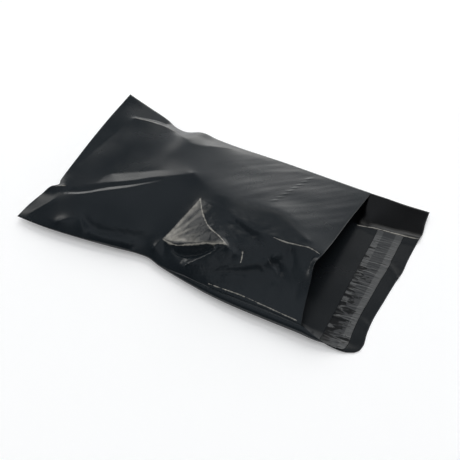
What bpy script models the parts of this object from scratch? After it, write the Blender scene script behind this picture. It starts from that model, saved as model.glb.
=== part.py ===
"""Poly mailer bag: a folded and side-welded film pouch with its glue strip and release liner.

Metres, +Z up. +X runs from the sealed end to the flap, +Y from the near side to the far side.
The bag lies on its back panel as if lightly filled, open at the mouth, with the flap laid out flat.
The origin is on the floor, under the middle of the whole bag.
"""

import bmesh
import bpy
import numpy as np

# Flat sizes of the mailer
FLAT_WIDTH = 0.1520
BODY_LENGTH = 0.2290
FLAP_LENGTH = 0.0417
FILM_THICKNESS = 0.0003

# The open pouch: its depth, and the body length that its folds and its swell take up
POUCH_DEPTH = 0.030
LENGTH_TAKEN_UP = 0.0075

# Glue strip on the flap's inner face, and the liner that covers it
GLUE_WIDTH = 0.0090
GLUE_THICKNESS = 0.0002
LINER_WIDTH = 0.0170
LINER_THICKNESS = 0.0002
LINER_MARGIN = 0.0100
STRIP_NEAR_INSET = 0.0030
STRIP_FAR_INSET = 0.0340
LAYER_GAP = 0.0003

# Mesh cells of the film
BODY_ROWS = 44
FLAP_ROWS = 8
COLUMNS = 28
STRIP_ROWS = 2
STRIP_COLUMNS = 40
HEIGHT_CELLS_PER_FACE = 3
# Grids are made one unit wide around 0, so that a point's place plus this half is its share
GRID_HALF = 0.5
# Points of the two panels closer than this are joined at the sealed end and the sides
WELD_DISTANCE = 0.00002

# Side edges. Shares run 0 to 1 along the body and 1 to 2 along the flap, heights are shares of the depth.
# Share along, shift along, inset, height, reach of the lifted underside, bulge of the underside
NEAR_SIDE = [
    (0.000, 0.0000, 0.0006, 0.13, 0.020, 0.0000),
    (0.097, 0.0000, 0.0000, 0.19, 0.022, 0.0000),
    (0.243, 0.0000, 0.0024, 0.23, 0.022, 0.0000),
    (0.360, 0.0000, 0.0061, 0.22, 0.020, 0.0000),
    (0.440, 0.0000, 0.0090, 0.20, 0.016, 0.0002),
    (0.470, 0.0000, 0.0092, 0.18, 0.012, 0.0006),
    (0.520, 0.0000, 0.0062, 0.17, 0.010, 0.0008),
    (0.600, 0.0000, 0.0040, 0.20, 0.009, 0.0014),
    (0.750, 0.0005, 0.0014, 0.25, 0.009, 0.0024),
    (0.900, 0.0020, 0.0005, 0.28, 0.009, 0.0034),
    (1.000, 0.0030, -0.0006, 0.28, 0.009, 0.0030),
    (1.300, 0.0020, -0.0030, 0.20, 0.010, 0.0016),
    (1.600, 0.0005, -0.0032, 0.08, 0.010, 0.0004),
    (1.850, 0.0000, -0.0014, 0.02, 0.008, 0.0000),
    (2.000, -0.0015, 0.0010, 0.01, 0.008, 0.0000),
]
FAR_SIDE = [
    (0.000, 0.0030, 0.0020, 0.55, 0.045, 0.0000),
    (0.090, 0.0025, 0.0050, 0.40, 0.040, 0.0000),
    (0.180, 0.0020, 0.0080, 0.26, 0.030, 0.0000),
    (0.230, 0.0010, 0.0120, 0.22, 0.024, 0.0002),
    (0.280, 0.0000, 0.0130, 0.22, 0.020, 0.0004),
    (0.330, 0.0000, 0.0095, 0.26, 0.018, 0.0006),
    (0.400, -0.0005, 0.0110, 0.25, 0.016, 0.0006),
    (0.700, -0.0025, 0.0118, 0.24, 0.016, 0.0006),
    (1.000, -0.0040, 0.0132, 0.23, 0.018, 0.0000),
    (1.250, -0.0030, 0.0118, 0.19, 0.034, 0.0000),
    (1.500, -0.0025, 0.0105, 0.14, 0.034, 0.0000),
    (2.000, -0.0018, 0.0085, 0.10, 0.034, 0.0000),
]
# Sealed end: share across, shift along, height, reach of the lifted underside
SEALED_END = [
    (0.000, 0.0000, 0.13, 0.030),
    (0.100, 0.0018, 0.20, 0.030),
    (0.160, 0.0052, 0.29, 0.032),
    (0.210, 0.0090, 0.40, 0.034),
    (0.235, 0.0125, 0.40, 0.034),
    (0.265, 0.0112, 0.33, 0.034),
    (0.330, 0.0098, 0.32, 0.034),
    (0.420, 0.0070, 0.34, 0.036),
    (0.550, 0.0050, 0.37, 0.040),
    (0.750, 0.0034, 0.43, 0.045),
    (1.000, 0.0030, 0.55, 0.055),
]
# Open edge of the front panel: share across, shift along, height
MOUTH = [
    (0.000, 0.0030, 0.28),
    (0.060, 0.0005, 0.34),
    (0.140, -0.0020, 0.46),
    (0.220, -0.0045, 0.60),
    (0.300, -0.0070, 0.70),
    (0.370, -0.0060, 0.68),
    (0.500, -0.0056, 0.56),
    (0.700, -0.0055, 0.42),
    (1.000, -0.0040, 0.23),
]

# End of the flap: share across, shift along, height
FLAP_END = [
    (0.000, -0.0022, 0.01),
    (0.015, -0.0004, 0.01),
    (0.045, 0.0007, 0.00),
    (0.130, -0.0008, 0.00),
    (0.230, -0.0016, 0.00),
    (0.330, -0.0010, 0.00),
    (0.430, -0.0005, 0.00),
    (0.500, 0.0002, 0.00),
    (0.545, 0.0008, 0.00),
    (0.640, 0.0003, 0.00),
    (0.776, 0.0003, 0.00),
    (0.802, 0.0005, 0.06),
    (0.840, 0.0008, 0.015),
    (0.930, -0.0010, 0.04),
    (1.000, -0.0018, 0.10),
]

# Folds of the front panel: share along, share across, height as a share of the depth
FRONT_FOLDS = {
    "end_ridge": [
        (0.048, 0.196, 0.36),
        (0.100, 0.213, 0.40),
        (0.149, 0.249, 0.44),
        (0.203, 0.298, 0.48),
        (0.275, 0.362, 0.54),
        (0.336, 0.416, 0.585),
        (0.396, 0.485, 0.63),
        (0.445, 0.541, 0.66),
    ],
    "end_valley": [
        (0.069, 0.218, 0.355),
        (0.111, 0.241, 0.385),
        (0.153, 0.270, 0.41),
        (0.182, 0.304, 0.44),
        (0.217, 0.347, 0.475),
        (0.265, 0.388, 0.515),
        (0.315, 0.427, 0.56),
        (0.358, 0.463, 0.60),
    ],
    "end_shoulder": [
        (0.063, 0.259, 0.395),
        (0.113, 0.292, 0.435),
        (0.159, 0.325, 0.475),
        (0.204, 0.362, 0.51),
        (0.261, 0.405, 0.555),
        (0.325, 0.452, 0.605),
        (0.389, 0.507, 0.64),
        (0.429, 0.548, 0.655),
    ],
    "sealed_curve": [
        (0.159, 0.325, 0.475),
        (0.160, 0.379, 0.47),
        (0.164, 0.437, 0.465),
        (0.160, 0.490, 0.46),
    ],
    "end_back": [
        (0.178, 0.433, 0.455),
        (0.237, 0.484, 0.50),
        (0.301, 0.521, 0.55),
        (0.372, 0.552, 0.61),
    ],
    "sealed_level": [
        (0.027, 0.405, 0.385),
        (0.044, 0.528, 0.40),
        (0.062, 0.647, 0.425),
        (0.073, 0.763, 0.455),
    ],
    "pinch_bump": [(0.019, 0.226, 0.42), (0.041, 0.244, 0.43)],
    "near_end_roll": [
        (0.021, 0.041, 0.195),
        (0.038, 0.087, 0.275),
        (0.048, 0.138, 0.345),
        (0.051, 0.175, 0.365),
    ],
    "near_dart": [(0.059, 0.072, 0.245), (0.084, 0.045, 0.23), (0.108, 0.017, 0.205)],
    "left_brow": [(0.145, 0.036, 0.31), (0.175, 0.068, 0.34), (0.200, 0.103, 0.36)],
    "near_brow": [
        (0.232, 0.112, 0.362),
        (0.265, 0.102, 0.348),
        (0.316, 0.098, 0.346),
        (0.368, 0.106, 0.352),
        (0.428, 0.114, 0.365),
    ],
    "near_crease": [
        (0.200, 0.103, 0.36),
        (0.248, 0.080, 0.29),
        (0.281, 0.072, 0.27),
        (0.323, 0.071, 0.27),
        (0.374, 0.082, 0.28),
        (0.432, 0.093, 0.31),
        (0.489, 0.104, 0.36),
    ],
    "left_fold": [(0.200, 0.103, 0.36), (0.218, 0.069, 0.33), (0.239, 0.035, 0.29)],
    "near_roll": [
        (0.264, 0.030, 0.283),
        (0.300, 0.022, 0.288),
        (0.350, 0.020, 0.292),
        (0.405, 0.026, 0.305),
    ],
    "pleat_light": [(0.490, 0.101, 0.36), (0.483, 0.045, 0.31)],
    "pleat_dark": [(0.500, 0.109, 0.35), (0.518, 0.067, 0.27), (0.531, 0.024, 0.21)],
    "pleat_ridge": [
        (0.500, 0.112, 0.36),
        (0.530, 0.093, 0.345),
        (0.563, 0.066, 0.32),
        (0.597, 0.022, 0.27),
    ],
    "facet_left_edge": [
        (0.492, 0.116, 0.36),
        (0.508, 0.235, 0.48),
        (0.522, 0.332, 0.59),
        (0.531, 0.421, 0.68),
    ],
    "facet_right_edge": [
        (0.531, 0.421, 0.68),
        (0.584, 0.312, 0.71),
        (0.626, 0.255, 0.74),
        (0.670, 0.223, 0.78),
        (0.706, 0.188, 0.81),
    ],
    "facet_lower_edge": [
        (0.492, 0.116, 0.36),
        (0.547, 0.116, 0.44),
        (0.592, 0.140, 0.55),
        (0.637, 0.166, 0.66),
        (0.706, 0.188, 0.81),
    ],
    "hollow": [(0.545, 0.088, 0.29), (0.588, 0.100, 0.31), (0.628, 0.128, 0.40), (0.670, 0.162, 0.60)],
    "hollow_rim": [
        (0.706, 0.188, 0.81),
        (0.677, 0.140, 0.66),
        (0.644, 0.088, 0.51),
        (0.610, 0.038, 0.39),
    ],
    "lower_ridge": [
        (0.610, 0.038, 0.39),
        (0.656, 0.064, 0.43),
        (0.713, 0.108, 0.47),
        (0.768, 0.154, 0.52),
        (0.827, 0.210, 0.58),
        (0.870, 0.280, 0.65),
    ],
    "lower_crease": [
        (0.622, 0.022, 0.30),
        (0.664, 0.042, 0.33),
        (0.720, 0.086, 0.36),
        (0.775, 0.132, 0.40),
        (0.829, 0.182, 0.44),
    ],
    "second_ridge": [(0.680, 0.034, 0.33), (0.735, 0.066, 0.37), (0.790, 0.110, 0.40)],
    "second_crease": [
        (0.694, 0.018, 0.285),
        (0.745, 0.048, 0.31),
        (0.810, 0.092, 0.33),
        (0.876, 0.140, 0.36),
    ],
    "dark_bowl": [(0.851, 0.245, 0.50), (0.887, 0.240, 0.44), (0.905, 0.200, 0.39)],
    "bowl_edge": [(0.894, 0.320, 0.64), (0.925, 0.295, 0.54), (0.935, 0.235, 0.45)],
    "top_ridge": [
        (0.531, 0.421, 0.68),
        (0.580, 0.408, 0.75),
        (0.637, 0.387, 0.79),
        (0.684, 0.372, 0.80),
        (0.731, 0.356, 0.79),
        (0.789, 0.342, 0.78),
        (0.858, 0.348, 0.77),
        (0.911, 0.362, 0.76),
        (0.954, 0.376, 0.74),
        (0.990, 0.372, 0.69),
    ],
    "top_crease": [
        (0.687, 0.349, 0.745),
        (0.716, 0.335, 0.71),
        (0.752, 0.325, 0.70),
        (0.767, 0.325, 0.71),
    ],
    "mouth_fold": [(0.954, 0.376, 0.74), (0.976, 0.330, 0.62), (0.985, 0.280, 0.55)],
    "sparkle": [(0.757, 0.218, 0.585), (0.763, 0.190, 0.565), (0.765, 0.165, 0.53)],
    "face_fold_near": [(0.685, 0.353, 0.74), (0.701, 0.227, 0.745), (0.737, 0.170, 0.66)],
    "face_fold_mouth": [(0.753, 0.325, 0.69), (0.791, 0.260, 0.665), (0.825, 0.215, 0.56)],
    "far_lip": [
        (0.085, 0.859, 0.50),
        (0.135, 0.881, 0.48),
        (0.179, 0.900, 0.455),
        (0.219, 0.927, 0.41),
        (0.259, 0.942, 0.35),
    ],
    "far_valley": [
        (0.061, 0.888, 0.45),
        (0.102, 0.932, 0.37),
        (0.137, 0.958, 0.305),
        (0.178, 0.978, 0.245),
    ],
    "far_shoulder": [(0.161, 0.772, 0.505), (0.228, 0.800, 0.49), (0.289, 0.776, 0.50)],
    "far_corner_patch": [(0.028, 0.918, 0.52), (0.073, 0.943, 0.43)],
    "far_pucker": [
        (0.310, 0.866, 0.465),
        (0.332, 0.843, 0.48),
        (0.359, 0.836, 0.49),
        (0.384, 0.849, 0.475),
        (0.427, 0.891, 0.43),
        (0.478, 0.945, 0.35),
    ],
    "plateau_edge": [
        (0.443, 0.582, 0.67),
        (0.511, 0.527, 0.705),
        (0.558, 0.505, 0.74),
        (0.638, 0.494, 0.78),
        (0.720, 0.504, 0.79),
        (0.808, 0.526, 0.785),
        (0.879, 0.460, 0.77),
        (0.930, 0.415, 0.76),
    ],
}
# Fold along the flap, where its far margin is turned up, and the dip beyond it
BACK_FOLDS = {
    "flap_fold": [
        (1.000, 0.790, 0.03),
        (1.150, 0.793, 0.06),
        (1.600, 0.797, 0.065),
        (2.000, 0.802, 0.06),
    ],
    "flap_dip": [(1.150, 0.822, 0.02), (1.500, 0.832, 0.015), (2.000, 0.840, 0.015)],
}

# How the film is drawn between its folds, and how fast the end and mouth shifts die away, as shares along
SWELL = 1.5
SWEEPS = 500
FRONT_SOFTENING = 2
BACK_SOFTENING = 4
END_SHIFT_REACH = 0.12
MOUTH_SHIFT_REACH = 0.15
# Share of the flap from which its end's shape shows
FLAP_END_START = 1.4

FILM_COLOR = (0.016, 0.018, 0.021)
GLUE_COLOR = (0.055, 0.058, 0.060)
LINER_COLOR = (0.130, 0.135, 0.138)

LYING_BODY = BODY_LENGTH - LENGTH_TAKEN_UP
CELL_ALONG = LYING_BODY / (BODY_ROWS * HEIGHT_CELLS_PER_FACE)
CELL_ACROSS = FLAT_WIDTH / (COLUMNS * HEIGHT_CELLS_PER_FACE)


def through(points, share):
    """Smooth values through listed points, each of a share and the values there."""
    points = np.array(points)
    knots, values = points[:, 0], points[:, 1:]
    share = np.clip(share, knots[0], knots[-1])
    low = np.clip(np.searchsorted(knots, share, side="right") - 1, 0, len(knots) - 2)
    span = (knots[low + 1] - knots[low])[..., None]
    t = (share - knots[low])[..., None] / span
    slopes = np.gradient(values, knots, axis=0)
    return (
        values[low] * (2 * t**3 - 3 * t**2 + 1)
        + slopes[low] * span * (t**3 - 2 * t**2 + t)
        + values[low + 1] * (3 * t**2 - 2 * t**3)
        + slopes[low + 1] * span * (t**3 - t**2)
    )


def lay_folds(height, fixed, folds, rows_per_share, flap_rows):
    """Sets the heights along each fold on the grid and marks them as held."""
    columns = height.shape[1] - 1
    lines = [0, rows_per_share, rows_per_share + flap_rows]
    for fold in folds.values():
        corners = np.array(fold)
        for start, end in zip(corners[:-1], corners[1:]):
            steps = int(np.ceil(abs(end - start)[:2].max() * 2 * rows_per_share)) + 1
            for share in np.linspace(0, 1, steps):
                along, across, level = start + (end - start) * share
                row, column = round(np.interp(along, [0, 1, 2], lines)), round(across * columns)
                height[row, column] = level * POUCH_DEPTH
                fixed[row, column] = True


def stretch(height, fixed, swell=0.0):
    """Draws the free heights tight between the held ones, with an even swell."""
    along, across = 1 / CELL_ALONG**2, 1 / CELL_ACROSS**2
    rows, columns = np.indices(height.shape)
    black = (rows + columns) % 2 == 0
    overshoot = 2 / (1 + np.pi / max(height.shape))
    for _ in range(SWEEPS):
        for squares in (black, ~black):
            level = height.copy()
            level[1:-1, 1:-1] = (
                along * (height[2:, 1:-1] + height[:-2, 1:-1])
                + across * (height[1:-1, 2:] + height[1:-1, :-2])
                + swell
            ) / (2 * along + 2 * across)
            moved = squares & ~fixed
            height[moved] += overshoot * (level - height)[moved]
    return height


def soften(height, passes):
    """Rounds the creases slightly, as the film's stiffness does. The edges stay."""
    for _ in range(passes):
        middle = height[1:-1, 1:-1]
        around = height[2:, 1:-1] + height[:-2, 1:-1] + height[1:-1, 2:] + height[1:-1, :-2]
        height[1:-1, 1:-1] = middle / 2 + around / 8
    return height


def between_edges(near, far, start, end):
    """Fills a grid from its four edges, as a ruled patch."""
    along = np.linspace(0, 1, len(near))[:, None]
    across = np.linspace(0, 1, len(start))[None, :]
    ruled_across = near[:, None] * (1 - across) + far[:, None] * across
    ruled_along = start[None, :] * (1 - along) + end[None, :] * along
    corners = (
        near[0] * (1 - along) * (1 - across)
        + far[0] * (1 - along) * across
        + near[-1] * along * (1 - across)
        + far[-1] * along * across
    )
    return ruled_across + ruled_along - corners


def hold_edges(shape):
    """Marks the four edges of a grid as held."""
    fixed = np.zeros(shape, bool)
    fixed[[0, -1], :] = True
    fixed[:, [0, -1]] = True
    return fixed


def back_heights():
    """Heights of the back panel and flap: flat on the floor, lifted towards the edges."""
    rows_per_share = BODY_ROWS * HEIGHT_CELLS_PER_FACE
    rows = (BODY_ROWS + FLAP_ROWS) * HEIGHT_CELLS_PER_FACE
    last = rows / rows_per_share
    along = np.linspace(0, last, rows + 1)
    across = np.linspace(0, 1, COLUMNS * HEIGHT_CELLS_PER_FACE + 1)
    side_share = np.where(along <= 1, along, 1 + (along - 1) / (last - 1))
    near, far = through(NEAR_SIDE, side_share), through(FAR_SIDE, side_share)
    sealed = through(SEALED_END, across)
    places, _, end_heights = np.array(FLAP_END).T
    flap_end = np.interp(across, places, end_heights)
    height = between_edges(near[:, 2], far[:, 2], sealed[:, 1], flap_end) * POUCH_DEPTH
    on_floor = across[None, :] * FLAT_WIDTH > near[:, 3][:, None]
    on_floor &= (1 - across[None, :]) * FLAT_WIDTH > far[:, 3][:, None]
    on_floor &= along[:, None] * LYING_BODY > sealed[:, 2][None, :]
    height[on_floor] = 0
    fixed = hold_edges(height.shape) | on_floor
    lay_folds(height, fixed, BACK_FOLDS, rows_per_share, rows - rows_per_share)
    return soften(stretch(height, fixed), BACK_SOFTENING)


def front_heights():
    """Heights of the front panel: drawn tight between its seams, its mouth and its folds."""
    rows = BODY_ROWS * HEIGHT_CELLS_PER_FACE
    along = np.linspace(0, 1, rows + 1)
    across = np.linspace(0, 1, COLUMNS * HEIGHT_CELLS_PER_FACE + 1)
    near, far = through(NEAR_SIDE, along), through(FAR_SIDE, along)
    sealed, mouth = through(SEALED_END, across), through(MOUTH, across)
    height = between_edges(near[:, 2], far[:, 2], sealed[:, 1], mouth[:, 1]) * POUCH_DEPTH
    fixed = hold_edges(height.shape)
    lay_folds(height, fixed, FRONT_FOLDS, rows, 0)
    return soften(stretch(height, fixed, SWELL), FRONT_SOFTENING)


def sheet_places(height, is_front):
    """Plan places of a panel's grid points, with their heights, as one array of points."""
    rows, columns = height.shape
    across = np.linspace(0, 1, columns)
    rows_per_share = BODY_ROWS * HEIGHT_CELLS_PER_FACE
    steps = np.arange(rows)
    flap_steps = FLAP_ROWS * HEIGHT_CELLS_PER_FACE
    flap_share = 1 + (steps - rows_per_share) / flap_steps
    share = np.where(steps <= rows_per_share, steps / rows_per_share, flap_share)
    near, far = through(NEAR_SIDE, share), through(FAR_SIDE, share)
    body_part, flap_part = np.minimum(share, 1), np.maximum(share - 1, 0)
    x = (body_part * LYING_BODY + flap_part * FLAP_LENGTH)[:, None]
    shift = near[:, 0][:, None] * (1 - across) + far[:, 0][:, None] * across
    end_shift = through(SEALED_END, across)[:, 0] - shift[0]
    shift = shift + end_shift * np.exp(-share / END_SHIFT_REACH)[:, None] * (share < 1)[:, None]
    if is_front:
        mouth_shift = through(MOUTH, across)[:, 0] - shift[-1]
        shift = shift + mouth_shift * np.exp(-(1 - share) / MOUTH_SHIFT_REACH)[:, None]
    else:
        flap_end_shift = through(FLAP_END, across)[:, 0] - shift[-1]
        reach = np.clip((share - FLAP_END_START) / (2 - FLAP_END_START), 0, 1)
        shift = shift + flap_end_shift * (reach**2 * (3 - 2 * reach))[:, None]
    y = near[:, 1][:, None] * (1 - across) + (FLAT_WIDTH - far[:, 1][:, None]) * across
    if not is_front:
        for side, seam_height, sign in ((near, near[:, 2], -1), (far, far[:, 2], 1)):
            distance = (across if sign < 0 else 1 - across)[None, :] * FLAT_WIDTH
            turn = np.clip(distance / side[:, 3][:, None], 0, 1)
            y = y + sign * side[:, 4][:, None] * np.sin(np.pi * turn)
    return np.stack([x + shift, y, height + FILM_THICKNESS], axis=-1)


def grid(mesh, rows, columns, places):
    """Adds one panel's faces, each point taken from the array of places."""
    made = bmesh.ops.create_grid(mesh, x_segments=rows, y_segments=columns, size=GRID_HALF)
    for vert in made["verts"]:
        row = round((vert.co.x + GRID_HALF) * rows) * HEIGHT_CELLS_PER_FACE
        column = round((vert.co.y + GRID_HALF) * columns) * HEIGHT_CELLS_PER_FACE
        vert.co = places[row, column]
    return made["verts"]


def material(name, color, roughness):
    """A plain plastic material."""
    result = bpy.data.materials.new(name)
    result.use_nodes = True
    shader = result.node_tree.nodes["Principled BSDF"]
    shader.inputs["Base Color"].default_value = (*color, 1)
    shader.inputs["Roughness"].default_value = roughness
    shader.inputs["Metallic"].default_value = 0.0
    return result


def add_object(name, mesh, finish, thickness, collection):
    """Makes an object of the sheet in mesh, thickened away from its inner face."""
    data = bpy.data.meshes.new(name)
    mesh.to_mesh(data)
    mesh.free()
    data.materials.append(finish)
    data.shade_smooth()
    made = bpy.data.objects.new(name, data)
    wall = made.modifiers.new("wall", "SOLIDIFY")
    wall.thickness = thickness
    wall.offset = 1.0
    wall.use_even_offset = False
    collection.objects.link(made)
    return made


def bag_film(collection, front, back):
    """The pouch and flap: two panels joined at the sealed end and along the welded sides."""
    mesh = bmesh.new()
    grid(mesh, BODY_ROWS, COLUMNS, front)
    under = grid(mesh, BODY_ROWS + FLAP_ROWS, COLUMNS, back)
    under_faces = list({face for vert in under for face in vert.link_faces})
    bmesh.ops.reverse_faces(mesh, faces=under_faces)
    bmesh.ops.remove_doubles(mesh, verts=mesh.verts, dist=WELD_DISTANCE)
    return add_object("bag_film", mesh, material("black_film", FILM_COLOR, 0.3), FILM_THICKNESS, collection)


def on_sheet(places, row, column):
    """The place on a panel at a row and column that may lie between its grid points."""
    low_row = min(int(row), places.shape[0] - 2)
    low_column = min(int(column), places.shape[1] - 2)
    part_row, part_column = row - low_row, column - low_column
    start = places[low_row, low_column : low_column + 2]
    end = places[low_row + 1, low_column : low_column + 2]
    across_start = start[0] * (1 - part_column) + start[1] * part_column
    across_end = end[0] * (1 - part_column) + end[1] * part_column
    return across_start * (1 - part_row) + across_end * part_row


def strip(name, finish, back, outer_margin, width, lift, thickness, collection):
    """A strip across the flap, lying a lift above the faces of the flap's film."""
    back = back[::HEIGHT_CELLS_PER_FACE, ::HEIGHT_CELLS_PER_FACE]
    rows, columns = back.shape[0] - 1, back.shape[1] - 1
    near_share, far_share = STRIP_NEAR_INSET / FLAT_WIDTH, 1 - STRIP_FAR_INSET / FLAT_WIDTH
    mesh = bmesh.new()
    made = bmesh.ops.create_grid(mesh, x_segments=STRIP_ROWS, y_segments=STRIP_COLUMNS, size=GRID_HALF)
    for vert in made["verts"]:
        from_end = outer_margin + width * (GRID_HALF - vert.co.x)
        row = rows - from_end / FLAP_LENGTH * FLAP_ROWS
        across = near_share + (far_share - near_share) * (vert.co.y + GRID_HALF)
        vert.co = on_sheet(back, row, across * columns)
        vert.co.z += lift
    return add_object(name, mesh, finish, thickness, collection)


def glue_strip(collection, back):
    """The band of glue on the flap, centred under its liner."""
    margin = LINER_MARGIN + (LINER_WIDTH - GLUE_WIDTH) / 2
    finish = material("clear_glue", GLUE_COLOR, 0.4)
    return strip("glue_strip", finish, back, margin, GLUE_WIDTH, LAYER_GAP, GLUE_THICKNESS, collection)


def release_liner(collection, back):
    """The peel-off liner over the glue, wider than the glue on both sides."""
    lift = LAYER_GAP + GLUE_THICKNESS + LAYER_GAP
    finish = material("gray_liner", LINER_COLOR, 0.35)
    return strip(
        "release_liner", finish, back, LINER_MARGIN, LINER_WIDTH, lift, LINER_THICKNESS, collection
    )


def centre_on_floor(pieces, collection):
    """Hangs the pieces on an empty that puts the middle of the bag's footprint at the origin."""
    bpy.context.view_layer.update()
    graph = bpy.context.evaluated_depsgraph_get()
    corners = np.concatenate(
        [[tuple(vert.co) for vert in piece.evaluated_get(graph).data.vertices] for piece in pieces]
    )
    lowest, highest = corners.min(axis=0), corners.max(axis=0)
    origin = bpy.data.objects.new("bag_origin", None)
    origin.location = (-(lowest[0] + highest[0]) / 2, -(lowest[1] + highest[1]) / 2, -lowest[2])
    collection.objects.link(origin)
    for piece in pieces:
        piece.parent = origin
    bpy.context.view_layer.update()


def clear_scene():
    for item in list(bpy.data.objects):
        bpy.data.objects.remove(item, do_unlink=True)


def main():
    clear_scene()
    collection = bpy.data.collections.new("poly_mailer_bag")
    bpy.context.scene.collection.children.link(collection)
    back = sheet_places(back_heights(), False)
    front = sheet_places(front_heights(), True)
    pieces = [
        bag_film(collection, front, back),
        glue_strip(collection, back),
        release_liner(collection, back),
    ]
    centre_on_floor(pieces, collection)


main()
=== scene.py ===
"""Poly mailer bag: the creased film, glue strip and release liner, on a pale studio floor.

Metres, +Z up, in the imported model's own frame. +X runs from the sealed end to the flap.
"""

from functools import partial

import bmesh
import bpy
import numpy as np
from bpy.props import FloatProperty, FloatVectorProperty, IntProperty, PointerProperty
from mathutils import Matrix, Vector, noise


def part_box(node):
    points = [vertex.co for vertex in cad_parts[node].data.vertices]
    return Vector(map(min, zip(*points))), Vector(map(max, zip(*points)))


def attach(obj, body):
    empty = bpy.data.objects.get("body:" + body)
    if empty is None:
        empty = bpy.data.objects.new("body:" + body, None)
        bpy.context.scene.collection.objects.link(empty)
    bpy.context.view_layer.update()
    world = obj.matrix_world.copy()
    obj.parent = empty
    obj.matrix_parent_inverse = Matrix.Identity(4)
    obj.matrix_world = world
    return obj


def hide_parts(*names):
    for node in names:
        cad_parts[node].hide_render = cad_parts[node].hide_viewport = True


bl_info = {
    "name": "Poly Mailer Bag",
    "version": (1, 0, 0),
    "blender": (4, 5, 0),
    "location": "View3D > Sidebar > Mailer",
    "description": "Builds an open poly mailer bag with its creased film, glue strip and release liner",
    "category": "Add Mesh",
}

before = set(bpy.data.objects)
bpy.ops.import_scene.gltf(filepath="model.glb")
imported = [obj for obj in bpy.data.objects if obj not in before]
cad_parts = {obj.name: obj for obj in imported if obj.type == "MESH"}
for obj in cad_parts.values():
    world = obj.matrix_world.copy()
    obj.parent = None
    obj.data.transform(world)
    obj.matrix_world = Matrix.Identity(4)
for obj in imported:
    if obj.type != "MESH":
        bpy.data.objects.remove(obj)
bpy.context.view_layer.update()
FILM_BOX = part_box("bag_film")

# Side edges. Shares run 0 to 1 along the body and 1 to 2 along the flap, heights are shares of the depth.
# Share along, shift along, inset, height, reach of the lifted underside, bulge of the underside
NEAR_SIDE = [
    (0.000, 0.0000, 0.0006, 0.13, 0.020, 0.0000),
    (0.097, 0.0000, 0.0000, 0.155, 0.016, 0.0010),
    (0.243, 0.0000, 0.0024, 0.165, 0.014, 0.0024),
    (0.360, 0.0000, 0.0061, 0.150, 0.013, 0.0026),
    (0.440, 0.0000, 0.0090, 0.135, 0.012, 0.0024),
    (0.470, 0.0000, 0.0092, 0.135, 0.010, 0.0022),
    (0.520, 0.0000, 0.0062, 0.130, 0.009, 0.0024),
    (0.600, 0.0000, 0.0040, 0.170, 0.0075, 0.0042),
    (0.750, 0.0005, 0.0014, 0.24, 0.0065, 0.0068),
    (0.900, 0.0020, 0.0005, 0.28, 0.0062, 0.0074),
    (1.000, 0.0030, -0.0006, 0.28, 0.0062, 0.0064),
    (1.300, 0.0020, -0.0030, 0.20, 0.0075, 0.0040),
    (1.600, 0.0005, -0.0032, 0.08, 0.010, 0.0010),
    (1.850, 0.0000, -0.0014, 0.02, 0.008, 0.0000),
    (2.000, -0.0015, 0.0010, 0.01, 0.008, 0.0000),
]
FAR_SIDE = [
    (0.000, 0.0030, 0.0020, 0.54, 0.045, 0.0000),
    (0.090, 0.0025, 0.0046, 0.385, 0.040, 0.0000),
    (0.180, 0.0020, 0.0080, 0.26, 0.030, 0.0000),
    (0.230, 0.0010, 0.0120, 0.22, 0.024, 0.0002),
    (0.280, 0.0000, 0.0130, 0.22, 0.020, 0.0004),
    (0.330, 0.0000, 0.0095, 0.26, 0.018, 0.0006),
    (0.400, -0.0005, 0.0110, 0.25, 0.016, 0.0006),
    (0.700, -0.0025, 0.0118, 0.24, 0.016, 0.0006),
    (1.000, -0.0040, 0.0132, 0.23, 0.018, 0.0000),
    (1.250, -0.0030, 0.0118, 0.19, 0.034, 0.0000),
    (1.500, -0.0025, 0.0105, 0.14, 0.034, 0.0000),
    (2.000, -0.0018, 0.0085, 0.10, 0.034, 0.0000),
]
# Sealed end: share across, shift along, height, reach of the lifted underside
SEALED_END = [
    (0.000, 0.0000, 0.13, 0.030),
    (0.100, 0.0018, 0.20, 0.030),
    (0.160, 0.0052, 0.29, 0.032),
    (0.210, 0.0090, 0.40, 0.034),
    (0.235, 0.0125, 0.40, 0.034),
    (0.265, 0.0110, 0.390, 0.034),
    (0.330, 0.0099, 0.415, 0.034),
    (0.420, 0.0086, 0.435, 0.036),
    (0.550, 0.0065, 0.450, 0.040),
    (0.750, 0.0040, 0.475, 0.045),
    (1.000, 0.0030, 0.54, 0.055),
]
# Open edge of the front panel: share across, shift along, height
MOUTH = [
    (0.000, 0.0030, 0.28),
    (0.060, 0.0005, 0.34),
    (0.140, -0.0020, 0.43),
    (0.220, -0.0045, 0.57),
    (0.300, -0.0070, 0.70),
    (0.370, -0.0060, 0.68),
    (0.500, -0.0056, 0.56),
    (0.700, -0.0055, 0.42),
    (1.000, -0.0040, 0.23),
]

# End of the flap: share across, shift along, height
FLAP_END = [
    (0.000, -0.0022, 0.01),
    (0.015, -0.0004, 0.01),
    (0.045, 0.0007, 0.00),
    (0.130, -0.0008, 0.00),
    (0.230, -0.0016, 0.00),
    (0.330, -0.0010, 0.00),
    (0.430, -0.0005, 0.00),
    (0.490, 0.0000, 0.00),
    (0.515, 0.0004, 0.04),
    (0.545, 0.0008, 0.00),
    (0.640, 0.0003, 0.00),
    (0.776, 0.0003, 0.00),
    (0.802, 0.0005, 0.06),
    (0.840, 0.0008, 0.015),
    (0.930, -0.0010, 0.04),
    (1.000, -0.0018, 0.10),
]

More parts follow.
